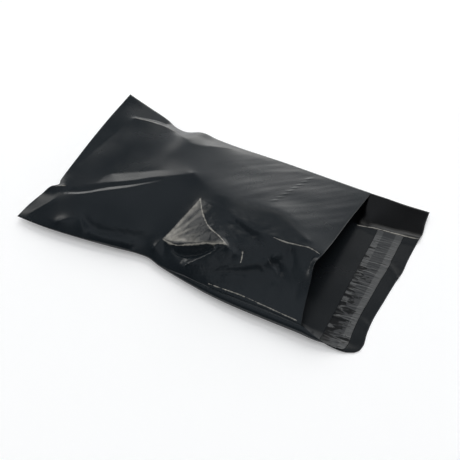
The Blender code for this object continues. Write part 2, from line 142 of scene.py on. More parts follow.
# Folds of the front panel: share along, share across, height as a share of the depth
FRONT_FOLDS = {
    "end_ridge": [
        (0.048, 0.196, 0.36), (0.100, 0.213, 0.40), (0.149, 0.249, 0.44), (0.203, 0.298, 0.48),
        (0.275, 0.362, 0.54), (0.336, 0.416, 0.585), (0.396, 0.485, 0.63), (0.445, 0.541, 0.66),
    ],
    "end_valley": [
        (0.069, 0.218, 0.355), (0.111, 0.241, 0.385), (0.153, 0.270, 0.41), (0.182, 0.304, 0.44),
        (0.217, 0.347, 0.475), (0.265, 0.388, 0.515), (0.315, 0.427, 0.56), (0.358, 0.463, 0.60),
    ],
    "end_shoulder": [
        (0.063, 0.259, 0.398), (0.113, 0.292, 0.430), (0.159, 0.325, 0.465), (0.204, 0.362, 0.503),
        (0.261, 0.405, 0.555), (0.325, 0.452, 0.605), (0.389, 0.507, 0.64), (0.429, 0.548, 0.655),
    ],
    "sealed_curve": [
        (0.159, 0.325, 0.465), (0.160, 0.379, 0.463), (0.164, 0.437, 0.463), (0.160, 0.490, 0.463),
    ],
    "end_back": [
        (0.178, 0.433, 0.455), (0.237, 0.484, 0.50), (0.301, 0.521, 0.55), (0.372, 0.552, 0.61),
    ],
    "sealed_level": [
        (0.027, 0.405, 0.425), (0.044, 0.528, 0.442), (0.062, 0.647, 0.458), (0.073, 0.763, 0.475),
    ],
    "pinch_bump": [(0.019, 0.226, 0.42), (0.041, 0.244, 0.43)],
    "near_end_roll": [
        (0.032, 0.037, 0.20), (0.052, 0.085, 0.285), (0.066, 0.137, 0.345), (0.069, 0.182, 0.365),
    ],
    "left_brow": [(0.145, 0.036, 0.31), (0.175, 0.068, 0.34), (0.200, 0.103, 0.36)],
    "near_brow": [
        (0.232, 0.112, 0.362), (0.265, 0.102, 0.348), (0.316, 0.098, 0.346), (0.368, 0.106, 0.352),
        (0.428, 0.114, 0.365),
    ],
    "near_crease": [
        (0.200, 0.103, 0.36), (0.248, 0.080, 0.29), (0.281, 0.072, 0.27), (0.323, 0.071, 0.27),
        (0.374, 0.082, 0.28), (0.432, 0.093, 0.31), (0.489, 0.104, 0.36),
    ],
    "left_fold": [(0.200, 0.103, 0.36), (0.218, 0.069, 0.33), (0.239, 0.035, 0.29)],
    "near_roll": [
        (0.264, 0.030, 0.268), (0.300, 0.022, 0.268), (0.350, 0.020, 0.270), (0.405, 0.026, 0.285),
    ],
    "pleat_light": [(0.490, 0.101, 0.36), (0.483, 0.045, 0.31)],
    "pleat_dark": [(0.500, 0.109, 0.35), (0.518, 0.067, 0.27), (0.531, 0.024, 0.21)],
    "pleat_ridge": [
        (0.500, 0.112, 0.36), (0.530, 0.093, 0.345), (0.563, 0.066, 0.32), (0.597, 0.022, 0.27),
    ],
    "facet_left_edge": [
        (0.492, 0.116, 0.36), (0.508, 0.235, 0.48), (0.522, 0.332, 0.59), (0.531, 0.421, 0.68),
    ],
    "facet_right_edge": [
        (0.531, 0.421, 0.68), (0.584, 0.312, 0.71), (0.626, 0.255, 0.74), (0.670, 0.223, 0.78),
        (0.706, 0.188, 0.81),
    ],
    "facet_lower_edge": [
        (0.492, 0.116, 0.36), (0.547, 0.116, 0.44), (0.592, 0.140, 0.55), (0.637, 0.166, 0.66),
        (0.706, 0.188, 0.81),
    ],
    "hollow": [(0.545, 0.088, 0.29), (0.588, 0.100, 0.31), (0.628, 0.128, 0.40), (0.670, 0.162, 0.60)],
    "hollow_rim": [
        (0.706, 0.188, 0.81), (0.677, 0.140, 0.66), (0.644, 0.088, 0.51), (0.610, 0.038, 0.39),
    ],
    "lower_ridge": [
        (0.610, 0.038, 0.39), (0.656, 0.064, 0.43), (0.713, 0.108, 0.47), (0.768, 0.154, 0.52),
        (0.827, 0.210, 0.58), (0.870, 0.280, 0.65),
    ],
    "lower_crease": [
        (0.622, 0.022, 0.30), (0.664, 0.042, 0.33), (0.720, 0.086, 0.36), (0.775, 0.132, 0.40),
        (0.829, 0.182, 0.44),
    ],
    "second_ridge": [(0.680, 0.034, 0.33), (0.735, 0.066, 0.37), (0.790, 0.110, 0.40)],
    "second_crease": [
        (0.694, 0.018, 0.285), (0.745, 0.048, 0.31), (0.810, 0.092, 0.33), (0.876, 0.140, 0.36),
    ],
    "dark_bowl": [(0.845, 0.245, 0.50), (0.876, 0.240, 0.45), (0.892, 0.200, 0.405)],
    "bowl_edge": [(0.894, 0.320, 0.635), (0.918, 0.290, 0.56), (0.926, 0.235, 0.49)],
    "mouth_face": [(0.960, 0.240, 0.535), (0.962, 0.180, 0.455), (0.964, 0.110, 0.372)],
    "near_weld": [
        (0.700, 0.014, 0.250), (0.738, 0.018, 0.262), (0.784, 0.022, 0.280), (0.902, 0.014, 0.300),
        (0.985, 0.012, 0.297),
    ],
    "top_ridge": [
        (0.531, 0.421, 0.68), (0.580, 0.408, 0.75), (0.637, 0.387, 0.79), (0.684, 0.372, 0.80),
        (0.731, 0.356, 0.79), (0.789, 0.342, 0.78), (0.830, 0.346, 0.775),
    ],
    "mouth_ridge": [
        (0.830, 0.346, 0.775), (0.858, 0.348, 0.77), (0.911, 0.362, 0.76), (0.954, 0.376, 0.74),
        (0.990, 0.372, 0.69),
    ],
    "top_crease": [
        (0.687, 0.349, 0.745), (0.716, 0.335, 0.71), (0.752, 0.325, 0.70), (0.767, 0.325, 0.71),
    ],
    "mouth_fold": [(0.954, 0.376, 0.74), (0.976, 0.330, 0.62), (0.985, 0.280, 0.55)],
    "sparkle": [(0.757, 0.218, 0.585), (0.763, 0.190, 0.565), (0.765, 0.165, 0.53)],
    "face_fold_near": [(0.685, 0.353, 0.74), (0.701, 0.227, 0.745), (0.737, 0.170, 0.66)],
    "face_fold_mouth": [(0.753, 0.325, 0.69), (0.791, 0.260, 0.665), (0.825, 0.215, 0.56)],
    "far_lip": [
        (0.085, 0.859, 0.50), (0.135, 0.881, 0.48), (0.179, 0.900, 0.455), (0.219, 0.927, 0.41),
        (0.259, 0.942, 0.35),
    ],
    "far_valley": [
        (0.085, 0.876, 0.455), (0.120, 0.908, 0.395), (0.150, 0.932, 0.345), (0.190, 0.962, 0.270),
    ],
    "far_pucker": [
        (0.262, 0.941, 0.352), (0.282, 0.918, 0.405), (0.298, 0.888, 0.448), (0.310, 0.866, 0.465),
        (0.332, 0.843, 0.48), (0.359, 0.836, 0.49), (0.384, 0.849, 0.475), (0.427, 0.891, 0.43),
        (0.478, 0.945, 0.35),
    ],
    "plateau_edge": [
        (0.443, 0.582, 0.67), (0.511, 0.527, 0.705), (0.558, 0.505, 0.74), (0.638, 0.494, 0.78),
        (0.720, 0.504, 0.79), (0.808, 0.526, 0.785), (0.879, 0.460, 0.77), (0.930, 0.415, 0.76),
    ],
}
# Fold along the flap, where its far margin is turned up, and the dip beyond it
BACK_FOLDS = {
    "flap_fold": [
        (1.000, 0.790, 0.03), (1.150, 0.793, 0.06), (1.600, 0.797, 0.065), (2.000, 0.802, 0.06),
    ],
    "flap_kink": [(1.780, 0.590, 0.010), (1.880, 0.550, 0.025), (2.000, 0.515, 0.040)],
    "flap_bump": [(1.780, 0.217, 0.008), (1.960, 0.175, 0.030)],
    "flap_dip": [(1.150, 0.822, 0.02), (1.500, 0.832, 0.015), (2.000, 0.840, 0.015)],
}
SWELL = 1.5
SWEEPS = 700
# How fast the end and mouth shifts die away, as shares along
END_SHIFT_REACH = 0.12
MOUTH_SHIFT_REACH = 0.15
# How far a grid point moves at most to meet a fold, in cells
DRAW_LIMIT = 0.42
# The facet's left edge is rounded by this many passes, less so between these distances from it
FACET_ROUNDING = 30
FACET_ROUNDED = (0.003, 0.010)
# Sharp folds that get a painted highlight along them, standing in for glints on their crests, and how far
# the painted highlight reaches from them
PAINTED_HIGHLIGHT_FOLDS = {
    "pinch_bump": 0.0011,
    "facet_left_edge": 0.0004,
    "facet_right_edge": 0.0011,
    "facet_lower_edge": 0.0013,
    "near_weld": 0.0008,
    "hollow_rim": 0.0002,
    "far_lip": 0.0008,
    "mouth_ridge": 0.0010,
    "sparkle": 0.0014,
    "flap_fold": 0.0010,
}
# Folds that start at the facet's near, upper and mouth-side corners
FACET_CORNERS = ("facet_lower_edge", "facet_right_edge", "hollow_rim")
# Ridges pressed into the far side: first and last place, and turn of each
MARKS = {"count": 8, "first": (0.1645, 0.0850), "last": (0.1720, 0.1290), "turn": np.radians(55)}
MARK_LENGTH, MARK_WIDTH, MARK_HEIGHT = 0.0032, 0.0009, 0.00022
RIPPLE_TURN = np.radians(52)
RIPPLE_HEIGHT, CRUMPLE_HEIGHT, BROAD_HEIGHT = 0.00026, 0.00040, 0.00035
LINER_WAVE_HEIGHT = 0.0008

# Light panels around the bag: turn from, to and blur, height from, to and blur (degrees), strength, tint
COOL, WARM = (0.95, 1.00, 1.06), (1.02, 1.00, 0.96)
LIGHT_PANELS = [
    ((-185, 185, 1), (-95, 95, 1), 0.07, COOL),
    ((-185, 185, 1), (42, 95, 5), 0.06, COOL),
    ((-185, 185, 1), (65, 95, 4), 0.22, COOL),
    ((-10, 185, 8), (-95, 34, 4), 0.06, COOL),
    ((-5, 185, 8), (-95, 30, 4), 0.16, COOL),
    ((34, 62, 5), (47, 67, 4), 0.17, COOL),
    ((46, 58, 3), (54, 64, 3), 0.10, COOL),
    ((95, 140, 5), (42, 56, 4), 0.60, COOL),
    ((62, 84, 4), (34, 41, 3), 0.90, WARM),
    ((-112, -82, 5), (45, 62, 4), 0.40, COOL),
    ((65, 178, 8), (-4, 30, 5), 0.29, WARM),
    ((65, 178, 8), (-4, 19, 6), 0.23, WARM),
    ((34, 56, 5), (13, 25, 4), 2.3, WARM),
    ((40, 150, 12), (-4, 8, 4), 1.9, WARM),
    ((12, 27, 3), (29, 40, 2), 1.9, WARM),
    ((27, 36, 3), (32, 39, 3), 2.6, WARM),
]
LAMP_DISTANCE = 2.2
KEY_DIRECTION, KEY_SIZE = Vector((-0.28, 0.80, 0.62)), 2.2
FILL_DIRECTION, FILL_SIZE = Vector((0.05, -0.40, 0.92)), 2.6
# The floor from its middle outwards: distance and height
FLOOR_PROFILE = [(0.0, 0.0), (9.0, 0.0), (11.0, 0.05), (11.8, 0.2), (12.0, 0.4)]
# Where the camera looks, from the pouch's origin
LOOK_AT = Vector((0.14025, 0.063, 0))

LengthProperty = partial(FloatProperty, unit="LENGTH")
ColorProperty = partial(FloatVectorProperty, size=3, subtype="COLOR")


class MailerSizes(bpy.types.PropertyGroup):
    """Flat sizes of the mailer and of its open pouch."""

    flat_width: LengthProperty(name="Flat width", description="Width of the empty, flat bag", default=0.152)
    body_length: LengthProperty(name="Body length", description="Sealed end to mouth, flat", default=0.229)
    flap_length: LengthProperty(name="Flap length", description="Mouth to the flap's end", default=0.0417)
    length_taken_up: LengthProperty(
        name="Length taken up", description="Body length that folds and swell take up", default=0.0075
    )
    pouch_depth: LengthProperty(
        name="Pouch depth", description="Depth that the fold heights are shares of", default=0.030
    )
    film_thickness: LengthProperty(
        name="Film thickness", description="Wall of the shown film", default=0.00016
    )
    floor_clearance: LengthProperty(
        name="Floor clearance", description="Inner face above the floor", default=0.0003
    )
    liner_width: LengthProperty(name="Liner width", description="Width of the liner", default=0.017)
    liner_thickness: LengthProperty(
        name="Liner thickness", description="Wall of the shown liner", default=0.00008
    )
    liner_lift: LengthProperty(name="Liner lift", description="Film to the liner", default=0.00022)
    liner_margin: LengthProperty(name="Liner margin", description="Flap end to liner", default=0.010)
    glue_width: LengthProperty(name="Glue width", description="Width of the glue", default=0.009)
    glue_thickness: LengthProperty(
        name="Glue thickness", description="Thickness of the shown glue", default=0.00012
    )
    glue_lift: LengthProperty(name="Glue lift", description="Film to the glue", default=0.00004)
    strip_near_inset: LengthProperty(
        name="Strip near inset", description="Near side edge to the strips", default=0.0015
    )
    strip_far_inset: LengthProperty(
        name="Strip far inset", description="Far side edge to the strips", default=0.0322
    )
    front_rows: IntProperty(name="Front rows", description="Mesh cells along the front panel", default=300)
    front_columns: IntProperty(
        name="Front columns", description="Mesh cells across the front panel", default=156
    )
    back_rows: IntProperty(name="Back rows", description="Mesh cells along the back panel", default=170)
    back_columns: IntProperty(
        name="Back columns", description="Mesh cells across the back panel", default=112
    )
    flap_rows: IntProperty(name="Flap rows", description="Mesh cells along the flap", default=36)


class MailerFinish(bpy.types.PropertyGroup):
    """Colours and gloss of the film, glue and liner."""

    film_color: ColorProperty(
        name="Film", description="Outer colour of the film", default=(0.0066, 0.0100, 0.0130)
    )
    inner_color: ColorProperty(
        name="Inside", description="Inner colour of the film", default=(0.0080, 0.0098, 0.0115)
    )
    # Painted shade: near-black colour laid on the flap's far strip beyond its fold, standing in for the dark
    # reflection it shows
    painted_shade_color: ColorProperty(
        name="Painted strip shade", description="Film beyond the flap's fold", default=(0.0008, 0.0008, 0.0010)
    )
    # Painted highlight: pale colour laid on the film along its sharpest folds, and as a painted sheen on the
    # facet
    painted_highlight_color: ColorProperty(
        name="Painted highlight", description="Painted highlight along a sharp fold", default=(0.33, 0.315, 0.28)
    )
    liner_color: ColorProperty(
        name="Liner", description="Colour of the release liner", default=(0.072, 0.074, 0.075)
    )
    liner_middle_color: ColorProperty(
        name="Liner middle", description="Liner over the glue", default=(0.036, 0.038, 0.040)
    )
    liner_slit_color: ColorProperty(
        name="Liner slits", description="Slits where the liner lifts", default=(0.0015, 0.002, 0.0025)
    )
    glue_color: ColorProperty(name="Glue", description="Colour of the glue", default=(0.30, 0.31, 0.31))
    film_gloss: FloatProperty(
        name="Film roughness", description="Roughness of the film", default=0.21, min=0, max=1
    )


class MailerStage(bpy.types.PropertyGroup):
    """Floor, light and camera."""

    floor_color: ColorProperty(
        name="Floor", description="Colour of the studio floor", default=(0.85, 0.85, 0.85)
    )
    floor_glow: FloatProperty(
        name="Floor glow", description="Added white of the floor as seen", default=0.19
    )
    far_floor_glow: FloatProperty(
        name="Far floor glow", description="Added white of the floor far from the bag", default=0.85
    )
    key_strength: FloatProperty(name="Key light", description="Brightness of the key light", default=2.45)
    fill_strength: FloatProperty(
        name="Fill light", description="Brightness of the fill light", default=1.15
    )
    lens: FloatProperty(name="Lens", description="Focal length of the camera in mm", default=72.0)
    distance: LengthProperty(name="Distance", description="Camera to bag", default=0.6585)
    azimuth: FloatProperty(
        name="Azimuth",
        description="Camera's turn to the flap's side",
        default=np.radians(27.7),
        unit="ROTATION",
    )
    elevation: FloatProperty(
        name="Elevation", description="Camera's height angle", default=np.radians(44.3), unit="ROTATION"
    )


def smooth_step(value, low, high):
    """0 below low, 1 above high, and a soft rise between."""
    t = np.clip((value - low) / (high - low), 0, 1)
    return t * t * (3 - 2 * t)


def through(points, share):
    """Smooth values through listed points, each of a share and the values there."""
    points = np.array(points)
    knots, values = points[:, 0], points[:, 1:]
    share = np.clip(share, knots[0], knots[-1])
    low = np.clip(np.searchsorted(knots, share, side="right") - 1, 0, len(knots) - 2)
    span = (knots[low + 1] - knots[low])[..., None]
    t = (share - knots[low])[..., None] / span
    slopes = np.gradient(values, knots, axis=0)
    return (
        values[low] * (2 * t**3 - 3 * t**2 + 1)
        + slopes[low] * span * (t**3 - 2 * t**2 + t)
        + values[low + 1] * (3 * t**2 - 2 * t**3)
        + slopes[low + 1] * span * (t**3 - t**2)
    )


def fold_curve(fold, steps_per_share):
    """Close points along one fold: shares along and across, and heights."""
    corners = np.array(fold)
    lengths = np.linalg.norm(np.diff(corners[:, :2], axis=0), axis=1)
    place = np.concatenate([[0], np.cumsum(lengths)])
    steps = int(place[-1] * steps_per_share) + 2
    return through(np.column_stack([place, corners]), np.linspace(0, place[-1], steps))


class Sheet:
    """The grid that one panel's heights are worked out on."""

    def __init__(self, sizes, rows, columns, flap_rows=0):
        self.sizes = sizes
        self.lying_body = sizes.body_length - sizes.length_taken_up
        self.body_rows, self.flap_rows, self.columns = rows, flap_rows, columns
        self.cell_along = self.lying_body / rows
        self.cell_across = sizes.flat_width / columns
        steps = np.arange(rows + flap_rows + 1)
        self.share = np.where(steps <= rows, steps / rows, 1 + (steps - rows) / max(flap_rows, 1))
        self.across = np.linspace(0, 1, columns + 1)
        self.near = through(NEAR_SIDE, self.share)
        self.far = through(FAR_SIDE, self.share)
        self.sealed = through(SEALED_END, self.across)
        self.mouth = through(MOUTH, self.across)
        self.flap_end = through(FLAP_END, self.across)
        self.drawn = np.zeros((len(self.share), len(self.across), 2))

    def shares(self):
        """Shares along and across at each grid point."""
        return np.broadcast_arrays(self.share[:, None], self.across[None, :])

    def on_film(self, share, across):
        """Places on the flat film, from shares along and across."""
        along = np.minimum(share, 1) * self.lying_body + np.maximum(share - 1, 0) * self.sizes.flap_length
        return np.stack([along, across * self.sizes.flat_width], axis=-1)

    def ruled(self, end):
        """Heights filled in from the four edges."""
        near, far, start = self.near[:, 2], self.far[:, 2], self.sealed[:, 1]
        along = np.linspace(0, 1, len(near))[:, None]
        across = self.across[None, :]
        ruled_across = near[:, None] * (1 - across) + far[:, None] * across
        ruled_along = start[None, :] * (1 - along) + end[None, :] * along
        corners = (
            near[0] * (1 - along) * (1 - across)
            + far[0] * (1 - along) * across
            + near[-1] * along * (1 - across)
            + far[-1] * along * across
        )
        return (ruled_across + ruled_along - corners) * self.sizes.pouch_depth

    def held_edges(self, height):
        """Marks the four edges as held."""
        fixed = np.zeros(height.shape, bool)
        fixed[[0, -1], :] = True
        fixed[:, [0, -1]] = True
        return fixed

    def lay_folds(self, height, fixed, folds):
        """Sets and holds the heights along each fold, and draws the grid points beside it onto it."""
        lines = [0, self.body_rows, self.body_rows + self.flap_rows]
        for fold in folds.values():
            curve = fold_curve(fold, 6 * self.body_rows)
            place = np.column_stack([np.interp(curve[:, 0], [0, 1, 2], lines), curve[:, 1] * self.columns])
            offset = place - np.rint(place)
            order = np.argsort(-np.abs(offset).sum(axis=1))
            row, column = np.rint(place[order]).astype(int).T
            height[row, column] = curve[order, 2] * self.sizes.pouch_depth
            fixed[row, column] = True
            self.drawn[row, column] = np.clip(offset[order], -DRAW_LIMIT, DRAW_LIMIT)
        self.drawn[[0, -1]] = 0
        self.drawn[:, [0, -1]] = 0

    def stretch(self, height, fixed, swell=0.0):
        """Draws the free heights tight between the held ones, with an even swell."""
        along, across = 1 / self.cell_along**2, 1 / self.cell_across**2
        rows, columns = np.indices(height.shape)
        black = (rows + columns) % 2 == 0
        overshoot = 2 / (1 + np.pi / max(height.shape))
        for _ in range(SWEEPS):
            for squares in (black, ~black):
                level = height.copy()
                level[1:-1, 1:-1] = (
                    along * (height[2:, 1:-1] + height[:-2, 1:-1])
                    + across * (height[1:-1, 2:] + height[1:-1, :-2])
                    + swell
                ) / (2 * along + 2 * across)
                moved = squares & ~fixed
                height[moved] += overshoot * (level - height)[moved]
        return height

    def soften(self, height, passes):
        """Rounds the creases slightly, as the film's stiffness does. The edges stay."""
        for _ in range(passes):
            middle = height[1:-1, 1:-1]
            around = height[2:, 1:-1] + height[:-2, 1:-1] + height[1:-1, 2:] + height[1:-1, :-2]
            height[1:-1, 1:-1] = middle / 2 + around / 8
        return height

    def back_heights(self):
        """Heights of the back panel and flap: flat on the floor, lifted towards the edges."""
        near, far = self.near, self.far
        places, _, end_heights = np.array(FLAP_END).T
        height = self.ruled(np.interp(self.across, places, end_heights))
        width = self.sizes.flat_width
        on_floor = self.across[None, :] * width > near[:, 3][:, None]
        on_floor &= (1 - self.across[None, :]) * width > far[:, 3][:, None]
        from_end = np.minimum(self.share, 1)[:, None] * self.lying_body
        on_floor &= from_end > self.sealed[:, 2][None, :]
        height[on_floor] = 0
        fixed = self.held_edges(height) | on_floor
        self.lay_folds(height, fixed, BACK_FOLDS)
        return self.soften(self.stretch(height, fixed), 3)

    def front_heights(self):
        """Heights of the front panel: drawn tight between its seams, its mouth and its folds."""
        height = self.ruled(self.mouth[:, 1])
        fixed = self.held_edges(height)
        self.lay_folds(height, fixed, FRONT_FOLDS)
        height = self.soften(self.stretch(height, fixed, SWELL), 2)
        eased = self.soften(height.copy(), FACET_ROUNDING)
        edge = fold_curve(FRONT_FOLDS["facet_left_edge"], 60)
        upper_half = edge[len(edge) // 2 :]
        by_edge = 1 - smooth_step(self.distance_to(upper_half, self.on_film(*self.shares())), *FACET_ROUNDED)
        height = height * (1 - by_edge) + eased * by_edge
        rounded = self.soften(height.copy(), 60)
        slack = smooth_step(self.share, 0.43, 0.52)[:, None] * smooth_step(self.across, 0.42, 0.50)[None, :]
        return height * (1 - slack) + rounded * slack

    def distance_to(self, curve, grid):
        """Distance on the flat film from each of the grid's places to a fold's close points."""
        nearest = np.full(grid.shape[:2], np.inf)
        for share, across, _ in curve:
            point = self.on_film(share, across)
            nearest = np.minimum(nearest, np.linalg.norm(grid - point, axis=-1))
        return nearest

    def places(self, height):
        """Places of the grid points in the pouch's own coordinates, from the sealed end and near side."""
        across, share, near, far = self.across, self.share, self.near, self.far
        flap_part = np.maximum(share - 1, 0) * self.sizes.flap_length
        x = (np.minimum(share, 1) * self.lying_body + flap_part)[:, None]
        shift = near[:, 0][:, None] * (1 - across) + far[:, 0][:, None] * across
        end_shift = self.sealed[:, 0] - shift[0]
        shift = shift + end_shift * np.exp(-share / END_SHIFT_REACH)[:, None] * (share < 1)[:, None]
        if not self.flap_rows:
            mouth_shift = self.mouth[:, 0] - shift[-1]
            shift = shift + mouth_shift * np.exp(-(1 - share) / MOUTH_SHIFT_REACH)[:, None]
        else:
            flap_end_shift = self.flap_end[:, 0] - shift[-1]
            shift = shift + flap_end_shift * smooth_step(share, 1.4, 2.0)[:, None]
        width = self.sizes.flat_width
        x = x + self.drawn[..., 0] * self.cell_along
        y = near[:, 1][:, None] * (1 - across) + (width - far[:, 1][:, None]) * across
        y = y + self.drawn[..., 1] * self.cell_across
        if self.flap_rows:
            for side, distance, sign in ((near, across, -1), (far, 1 - across, 1)):
                turn = np.clip(distance[None, :] * width / side[:, 3][:, None], 0, 1)
                y = y + sign * side[:, 4][:, None] * np.sin(np.pi * turn)
        return np.stack([x + shift, y, height + self.sizes.floor_clearance], axis=-1)


def pressed_marks(x, y):
    """A slanting row of short ridges, pressed into the film from inside."""
    first, last, turn = MARKS["first"], MARKS["last"], MARKS["turn"]
    height = np.zeros_like(x)
    for number in range(MARKS["count"]):
        share = number / (MARKS["count"] - 1)
        dx = x - (first[0] + (last[0] - first[0]) * share)
        dy = y - (first[1] + (last[1] - first[1]) * share)
        along = dx * np.cos(turn) + dy * np.sin(turn)
        beside = dy * np.cos(turn) - dx * np.sin(turn)
        height += np.exp(-((along / MARK_LENGTH) ** 2) - (beside / MARK_WIDTH) ** 2)
    return height * MARK_HEIGHT


def worn_part(sheet):
    """How far the front film is crumpled at each grid point: the near half towards the mouth."""
    share, across = sheet.shares()
    near_half = 1 - smooth_step(across, 0.34, 0.46)
    return smooth_step(share, 0.47, 0.55) * near_half * (1 - smooth_step(share, 0.86, 0.96))


def film_relief(sheet, places):
    """Fine heights of the front film: slack ripples on the far side and crumples on the near side."""
    x, y = places[..., 0], places[..., 1]
    share, across = sheet.shares()
    ripple, crumple, broad = np.zeros_like(x), np.zeros_like(x), np.zeros_like(x)
    for spot in np.ndindex(x.shape):
        along = x[spot] * np.cos(RIPPLE_TURN) + y[spot] * np.sin(RIPPLE_TURN)
        beside = y[spot] * np.cos(RIPPLE_TURN) - x[spot] * np.sin(RIPPLE_TURN)
        coarse = noise.noise((along * 24, beside * 85, 3.0))
        ripple[spot] = coarse + 0.5 * noise.noise((along * 50, beside * 190, 8.0))
        crumple[spot] = noise.turbulence((x[spot] * 75, y[spot] * 75, 5.0), 3, True) - 0.6
        broad[spot] = noise.noise((x[spot] * 42, y[spot] * 42, 1.0))
    edge = smooth_step(np.minimum(np.minimum(share, 1 - share) * 3, np.minimum(across, 1 - across)), 0, 0.06)
    slack = smooth_step(share, 0.36, 0.70) * smooth_step(across, 0.42, 0.62)
    relief = ripple * RIPPLE_HEIGHT * slack + crumple * CRUMPLE_HEIGHT * worn_part(sheet)
    return (relief + broad * BROAD_HEIGHT + pressed_marks(x, y)) * edge


def panel_mesh(pouch, places):
    """One panel's mesh at its place in the model, each point taken from the array of places."""
    rows, columns = places.shape[0] - 1, places.shape[1] - 1
    mesh = bmesh.new()
    flat = mesh.loops.layers.uv.verify()
    made = bmesh.ops.create_grid(mesh, x_segments=rows, y_segments=columns, size=0.5)
    for vert in made["verts"]:
        along, across = vert.co.x + 0.5, vert.co.y + 0.5
        vert.co = places[round(along * rows), round(across * columns)]
        for loop in vert.link_loops:
            loop[flat].uv = (along, across)
    bmesh.ops.translate(mesh, verts=mesh.verts, vec=pouch.origin)
    return mesh


def painted_highlight_reach(sheet, folds):
    """Each grid point's distance on the flat film from the folds with a painted highlight, as a share of
    their reach.
    """
    grid = sheet.on_film(*sheet.shares()) + sheet.drawn * (sheet.cell_along, sheet.cell_across)
    nearest = np.full(grid.shape[:2], 9.0)
    for name, reach in PAINTED_HIGHLIGHT_FOLDS.items():
        if name in folds:
            nearest = np.minimum(nearest, sheet.distance_to(fold_curve(folds[name], 400), grid) / reach)
    return nearest


def facet_painted_sheen(sheet):
    """How much painted sheen the sharp-edged facet gets at each grid point: most along its near and lower
    edges.
    """
    place = np.stack(sheet.shares(), axis=-1)
    low, top, right = (np.array(FRONT_FOLDS[name][0][:2]) for name in FACET_CORNERS)
    spans = np.column_stack([top - low, right - low])
    towards_top, towards_right = np.moveaxis((place - low) @ np.linalg.inv(spans).T, -1, 0)
    shares = (towards_top, towards_right, 1 - towards_top - towards_right)
    inside = smooth_step(np.minimum.reduce(shares), -0.01, 0.02)
    away = towards_top + towards_right
    fan = np.zeros_like(away)
    for spot in np.argwhere(inside > 0):
        turn = towards_top[tuple(spot)] / max(away[tuple(spot)], 0.02)
        fan[tuple(spot)] = noise.noise((turn * 9, away[tuple(spot)] * 1.8, 2.0))
    corner = 1 - smooth_step(away, 0.10, 0.75)
    lower = 1 - smooth_step(towards_right, 0.0, 0.14)
    left = 1 - smooth_step(towards_top, 0.0, 0.10)
    return inside * np.clip(0.02 + corner * 0.8 + 0.5 * lower + 0.4 * left + 0.6 * fan, 0, 1)


def painted_shade_strip(sheet):
    """1 at the grid points of the strip beyond the flap's fold, which gets painted shade, and 0 elsewhere.
    """
    share, across, _ = np.array(BACK_FOLDS["flap_fold"]).T
    beyond = sheet.across[None, :] - np.interp(sheet.share, share, across)[:, None]
    return smooth_step(beyond, 0.004, 0.014) * smooth_step(sheet.share, 0.96, 1.0)[:, None]


def store_on_points(data, name, values):
    """Keeps the grid's numbers on the mesh's points, matched by their UV shares."""
    rows, columns = values.shape[0] - 1, values.shape[1] - 1
    ordered = np.zeros(len(data.vertices))
    for loop, uv in zip(data.loops, data.uv_layers[0].uv):
        ordered[loop.vertex_index] = values[round(uv.vector.x * rows), round(uv.vector.y * columns)]
    layer = data.attributes.new(name, "FLOAT", "POINT")
    layer.data.foreach_set("value", ordered)


def finish_piece(name, mesh, thickness, materials, node):
    """Makes the object, gives it its wall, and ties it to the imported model."""
    data = bpy.data.meshes.new(name)
    mesh.to_mesh(data)
    mesh.free()
    data.shade_smooth()
    for material in materials:
        data.materials.append(material)
    piece = bpy.data.objects.new(name, data)
    bpy.context.scene.collection.objects.link(piece)
    wall = piece.modifiers.new("wall", "SOLIDIFY")
    wall.thickness = thickness
    wall.offset = 1.0
    wall.material_offset = len(materials) - 1
    wall.material_offset_rim = len(materials) - 1
    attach(piece, "root")
    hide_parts(node)
    return piece


def new_group(name, inputs, outputs):
    """An empty shader node group with its named sockets. Inputs are name, type and default."""
    group = bpy.data.node_groups.new(name, "ShaderNodeTree")
    for label, kind, default in inputs:
        socket = group.interface.new_socket(label, in_out="INPUT", socket_type=kind)
        if default is not None:
            socket.default_value = default
    for label, kind in outputs:
        group.interface.new_socket(label, in_out="OUTPUT", socket_type=kind)
    return group, group.nodes.new("NodeGroupInput"), group.nodes.new("NodeGroupOutput")


def shared_group(name, maker):
    """The named node group, made the first time it is asked for."""
    return bpy.data.node_groups.get(name) or maker()


def wired(tree, kind, links=(), **values):
    """A new node with its settings, and its inputs linked from other nodes' outputs or set."""
    node = tree.nodes.new(kind)
    for key, value in values.items():
        setattr(node, key, value)
    for socket, source in links:
        if isinstance(source, bpy.types.NodeSocket):
            tree.links.new(source, node.inputs[socket])
        else:
            node.inputs[socket].default_value = source
    return node


def computed(tree, operation, *values):
    """The result of a math node on sockets or numbers."""
    return wired(tree, "ShaderNodeMath", enumerate(values), operation=operation).outputs[0]


def ranged(tree, value, start, end, low=0.0, high=1.0, **settings):
    """A value taken from the range start to end into the range low to high."""
    links = [("Value", value), ("From Min", start), ("From Max", end), ("To Min", low), ("To Max", high)]
    return wired(tree, "ShaderNodeMapRange", links, **settings).outputs["Result"]


def mixed(tree, share, first, second):
    """The first colour mixed with a share of the second."""
    links = [(0, share), (6, first), (7, second)]
    return wired(tree, "ShaderNodeMix", links, data_type="RGBA").outputs[2]


def noised(tree, vector, scale, detail, **inputs):
    """Cloudy noise at a vector."""
    links = [("Vector", vector), ("Scale", scale), ("Detail", detail), *inputs.items()]
    return wired(tree, "ShaderNodeTexNoise", links).outputs["Fac"]


def bumped(tree, height, strength, distance, **inputs):
    """The normal of a surface with fine heights."""
    links = [("Height", height), ("Strength", strength), ("Distance", distance), *inputs.items()]
    return wired(tree, "ShaderNodeBump", links).outputs["Normal"]


def stored(tree, name):
    """A number kept on the mesh's points."""
    return wired(tree, "ShaderNodeAttribute", attribute_name=name).outputs["Fac"]


